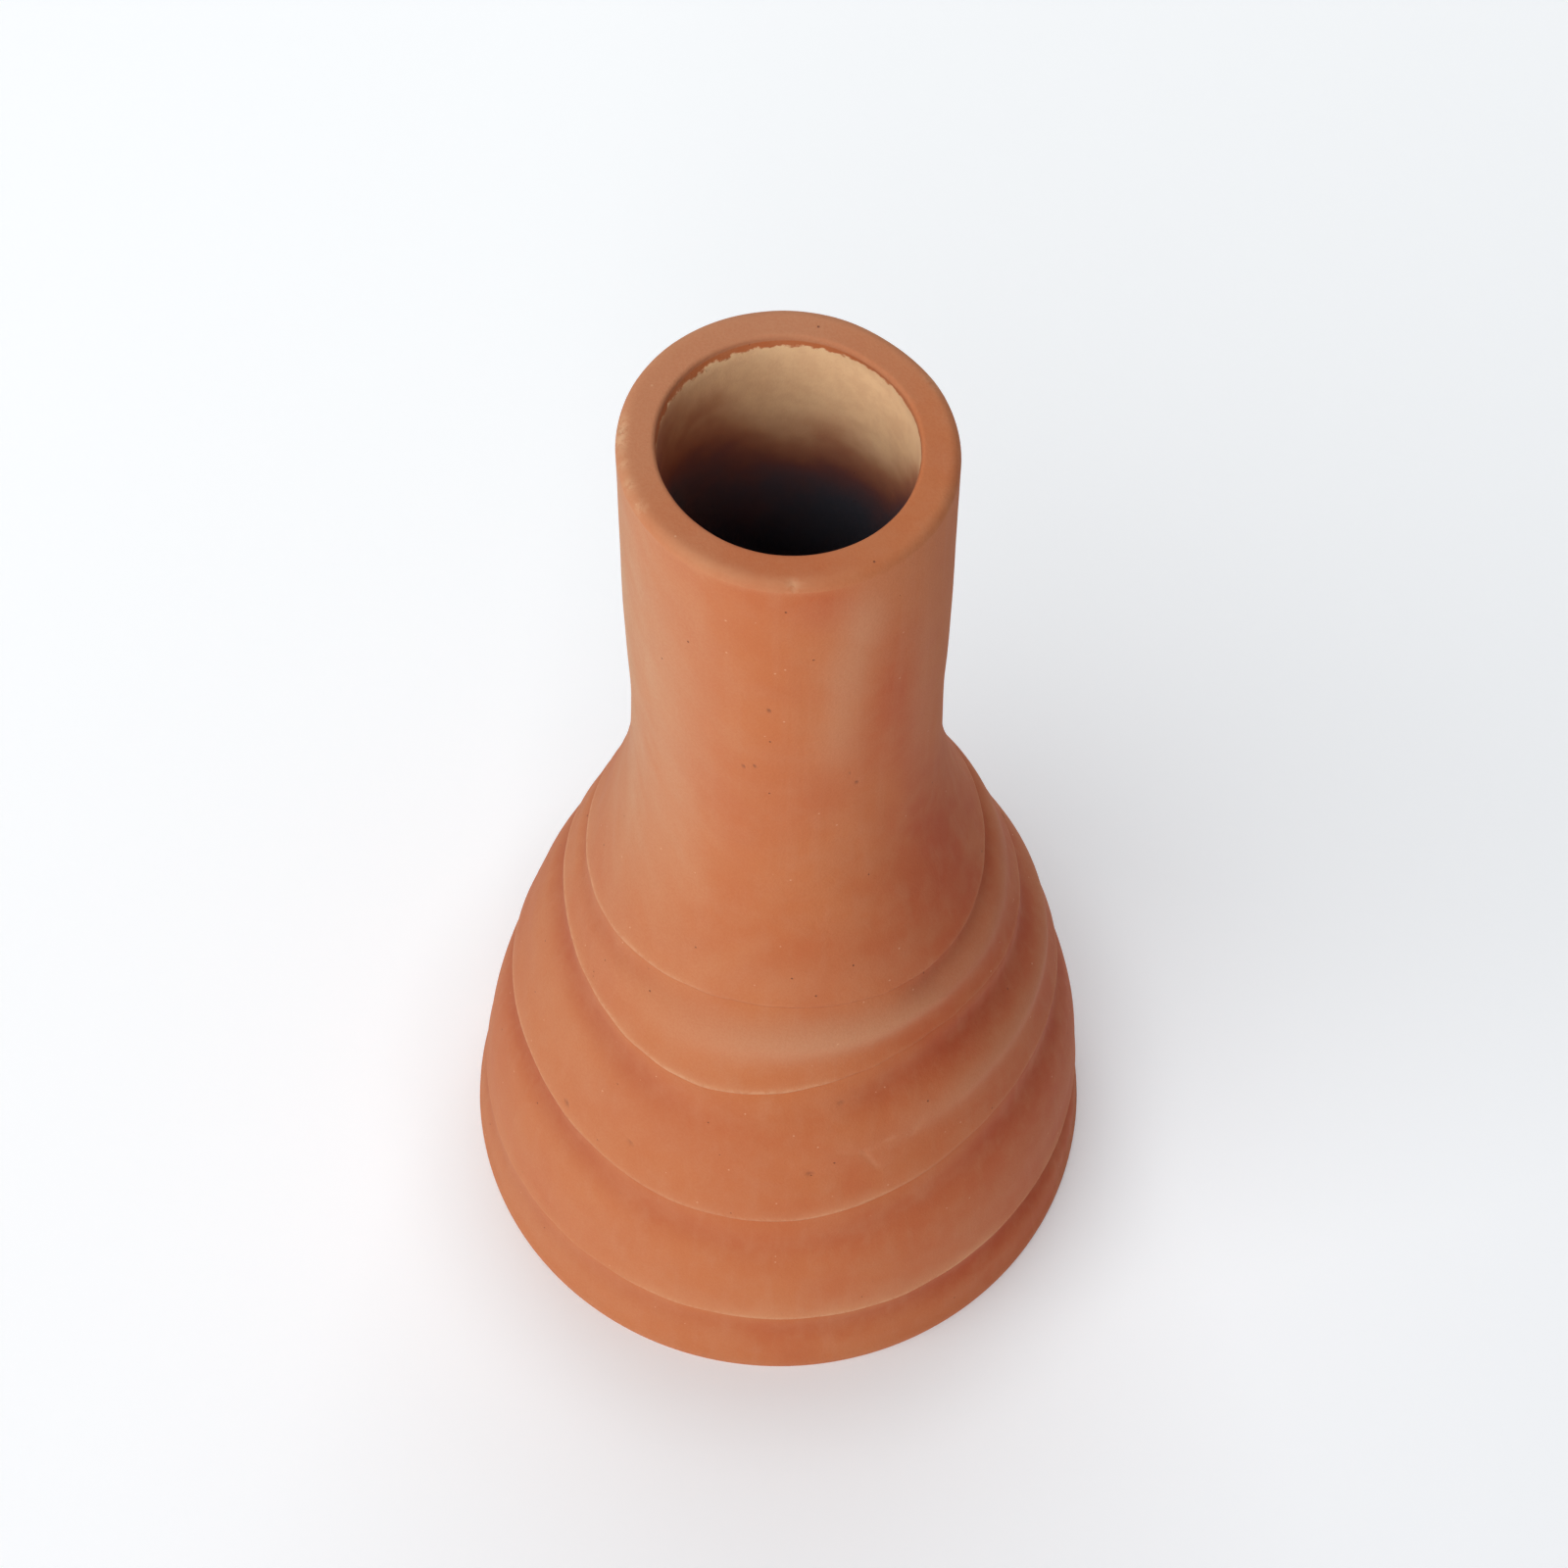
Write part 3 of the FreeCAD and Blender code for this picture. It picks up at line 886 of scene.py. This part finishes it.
def slip_layer(n, colour):
    """Pale slip over the inside, with a ragged upper edge.  Painted shade darkens it with depth in three
    steps.
    """
    place = n.add("ShaderNodeSeparateXYZ")
    n.link(n.place, place.inputs[0])
    ragged = n.math("MULTIPLY", n.noise(420, 4, 0.6), -SLIP_RAGGED)
    edge = n.math("ADD", place.outputs["Z"], ragged)
    low, high = (HEIGHT * MM - depth for depth in SLIP_TOP)
    covered = n.math("MULTIPLY", n.mark("bare"), n.span(edge, low, high, 1.0, 0.0))
    slip = n.mix(n.span(n.noise(300, 4, 0.6), 0.35, 0.7, 0.0, 0.2), SLIP, CLAY_PALE)
    # Painted shade: the slip turns duller, then brown, then nearly black with depth.
    deep = n.math("ADD", n.mark("deep"), n.span(n.noise(60, 3, 0.5), 0.3, 0.7, -0.1, 0.1))
    slip = n.mix(n.span(deep, 0.05, 0.5), slip, CLAY_PALE)
    slip = n.mix(n.span(deep, 0.3, 0.8), slip, BORE_SHADE_BROWN)
    slip = n.mix(n.span(deep, 0.55, 1.1), slip, INSIDE_SHADE)
    return n.mix(covered, colour, slip)


def clay_relief(n, mottle, streaks, grain, fine_pits, worn_and_highlight):
    """Fine relief of the clay, with the pits and the chips sunk in."""
    normal = n.bump(mottle, 0.25, 0.0006)
    normal = n.bump(streaks, 0.18, 0.0003, normal)
    normal = n.bump(grain, 0.5, 0.00014, normal)
    normal = n.bump(n.math("MULTIPLY", fine_pits, -1.0), 0.8, 0.0003, normal)
    return n.bump(n.math("MULTIPLY", worn_and_highlight, -1.0), 0.5, 0.0002, normal)


def fired_clay():
    """Matte orange-brown terracotta with clouds, wipe streaks, grains, pits and worn edges, and painted
    light and shade: highlights on crests and lip, shade in hollows and down the inside.
    """
    n = Nodes("fired_clay")
    mottle = n.noise(120, 4, 0.6)
    streaks = n.noise(330, 3, 0.55, where=n.stretch(1, 1, 0.06))
    grain = n.noise(1900, 3, 0.6)
    fine_pits = n.specks(420, 0.11, 0.045)
    chips = n.span(n.noise(900, 4, 0.65), 0.36, 0.56)
    worn_and_highlight = n.math("MULTIPLY", n.mark("worn_and_highlight"), chips, clamp=True)
    colour = clay_texture(n, clay_body(n), mottle, streaks, grain, fine_pits)
    colour = slip_layer(n, clay_wear_and_highlight(n, colour, mottle, worn_and_highlight))
    n.link(colour, n.shader.inputs["Base Color"])
    n.link(n.span(mottle, 0.3, 0.7, 0.78, 0.92), n.shader.inputs["Roughness"])
    n.shader.inputs["Specular IOR Level"].default_value = 0.15
    n.shader.inputs["Sheen Weight"].default_value = 0.03
    n.shader.inputs["Sheen Roughness"].default_value = 0.5
    normal = clay_relief(n, mottle, streaks, grain, fine_pits, worn_and_highlight)
    n.link(normal, n.shader.inputs["Normal"])
    return n.material


def floor_paper():
    """Plain pale floor, with painted light that makes it a touch brighter to the back left, and greyer at
    the far wall.

    Its glow stands in for the light of a bright room.  The glow fades close to the vase, which
    shades the floor there, and towards the far wall."""
    n = Nodes("floor_paper")
    part = n.add("ShaderNodeSeparateXYZ")
    n.link(n.place, part.inputs[0])
    # Painted light: the paper is painted brighter towards the back left.
    back_left = n.math("SUBTRACT", part.outputs["Y"], n.math("MULTIPLY", part.outputs["X"], 0.6))
    colour = n.mix(n.span(back_left, -0.35, 0.45), PAPER, PAPER_BRIGHT)
    n.link(colour, n.shader.inputs["Emission Color"])
    length = n.add("ShaderNodeVectorMath", operation="LENGTH")
    n.link(n.place, length.inputs[0])
    away = length.outputs["Value"]
    near_glow = n.span(away, 0.066, 0.10, 0.20, 0.33)
    glow = n.math("MULTIPLY", near_glow, n.span(away, 1.2, 2.6, 1.0, 0.4))
    n.link(glow, n.shader.inputs["Emission Strength"])
    colour = n.mix(n.span(away, 1.2, 2.6), colour, PAPER_FAR)
    n.link(colour, n.shader.inputs["Base Color"])
    n.shader.inputs["Roughness"].default_value = 0.7
    n.shader.inputs["Specular IOR Level"].default_value = 0.2
    n.link(n.bump(n.noise(700, 2, 0.5), 0.05, 0.0002), n.shader.inputs["Normal"])
    return n.material


# --- stage, light and camera --------------------------------------------------------------------
# The sheet of paper, in metres.
SHEET_FLAT = 2.9       # radius of the flat part
SHEET_BEND = 0.6       # radius of the bend
SHEET_TOP = 1.15       # height of the wall
SHEET_SIDES = 96
AIM_HEIGHT = 0.12      # height on the vase that the lights point at, in metres
LENS = 70.0
CAMERA_PITCH = 59.13   # degrees below level
CAMERA_ROLL = 0.946    # degrees
# Place of the camera from the centre of the mouth, in lip radii.
LIP_UNIT = 28.4
CAMERA_PLACE = (0.0057, -10.944, 14.384)


def add_floor():
    """Round sheet of paper that is flat under the vase and bends up into a low wall far around it."""
    turn = np.linspace(0, math.pi / 2, 13)[1:]
    flat = SHEET_FLAT * np.linspace(0.002, 1, 26) ** 2
    radii = np.concatenate([flat, SHEET_FLAT + SHEET_BEND * np.sin(turn), [SHEET_FLAT + SHEET_BEND]])
    heights = np.concatenate([0 * flat, SHEET_BEND * (1 - np.cos(turn)), [SHEET_TOP]])
    angle = np.arange(SHEET_SIDES) * 2 * math.pi / SHEET_SIDES
    points = np.stack([radii[:, None] * np.sin(angle), radii[:, None] * np.cos(angle),
                       heights[:, None] + 0 * angle], axis=-1)
    faces = open_faces(len(radii), SHEET_SIDES)
    floor = make_object("stage_floor", points.reshape(-1, 3), faces, {})
    floor.data.materials.append(floor_paper())


def add_light(name, azimuth, elevation, distance, size, watts, colour):
    """Soft light that points at the vase.  Azimuth runs from the front towards the right."""
    lamp = bpy.data.lights.new(name, "AREA")
    lamp.shape = "RECTANGLE"
    lamp.size, lamp.size_y = size
    lamp.energy = watts
    lamp.color = colour
    obj = bpy.data.objects.new(name, lamp)
    obj.visible_camera = False
    bpy.context.scene.collection.objects.link(obj)
    a, e = math.radians(azimuth), math.radians(elevation)
    place = Vector((
        distance * math.sin(a) * math.cos(e),
        -distance * math.cos(a) * math.cos(e),
        distance * math.sin(e) + AIM_HEIGHT,
    ))
    obj.location = place
    towards = Vector((0, 0, AIM_HEIGHT)) - place
    obj.rotation_euler = towards.to_track_quat("-Z", "Y").to_euler()


def add_world(colour, strength):
    """Even light from all around."""
    world = bpy.data.worlds.new("soft_room")
    world.use_nodes = True
    back = world.node_tree.nodes["Background"]
    back.inputs["Color"].default_value = colour
    back.inputs["Strength"].default_value = strength
    bpy.context.scene.world = world


def add_camera():
    """Camera that looks down over the front of the vase."""
    unit = LIP_UNIT * MM
    pitch, roll = math.radians(CAMERA_PITCH), math.radians(CAMERA_ROLL)
    camera = bpy.data.cameras.new("camera")
    camera.sensor_width = 36.0
    camera.lens = LENS
    camera.clip_start = 0.01
    obj = bpy.data.objects.new("camera", camera)
    bpy.context.scene.collection.objects.link(obj)
    forward = Vector((0, math.cos(pitch), -math.sin(pitch)))
    right = Vector((1, 0, 0))
    up = right.cross(forward)
    side = math.cos(roll) * right + math.sin(roll) * up
    top = -math.sin(roll) * right + math.cos(roll) * up
    x, y, z = CAMERA_PLACE
    place = Vector((x * unit, y * unit, z * unit + HEIGHT * MM))
    turn = Matrix((side, top, -forward)).transposed().to_4x4()
    obj.matrix_world = Matrix.Translation(place) @ turn
    bpy.context.scene.camera = obj


# --- build ------------------------------------------------------------------------------------
def add_vase():
    """One piece for each node of the frame, all of the same clay."""
    clay = fired_clay()
    pieces = {"neck": neck_section()}
    above = "neck"
    for name in SECTIONS[1:]:
        pieces[name] = body_section(name, above, section_edge(above), section_edge(name))
        above = name
    pieces["floor_disc"] = floor_section()
    for node, piece in pieces.items():
        piece.data.materials.append(clay)
        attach(piece, ROOT)
        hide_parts(node)


add_vase()
add_floor()
add_world((0.93, 0.96, 1.0, 1), 0.0)
add_light("window", -38, 36, 2.2, (3.2, 2.0), 49.5, (1.0, 0.99, 0.97))
add_light("back_window", 180, 52, 2.2, (2.0, 2.0), 24, (0.97, 0.99, 1.0))
add_light("right_fill", 60, 33, 2.2, (2.0, 2.0), 2.2, (0.92, 0.96, 1.0))
add_camera()
bpy.context.scene.view_settings.view_transform = "Standard"
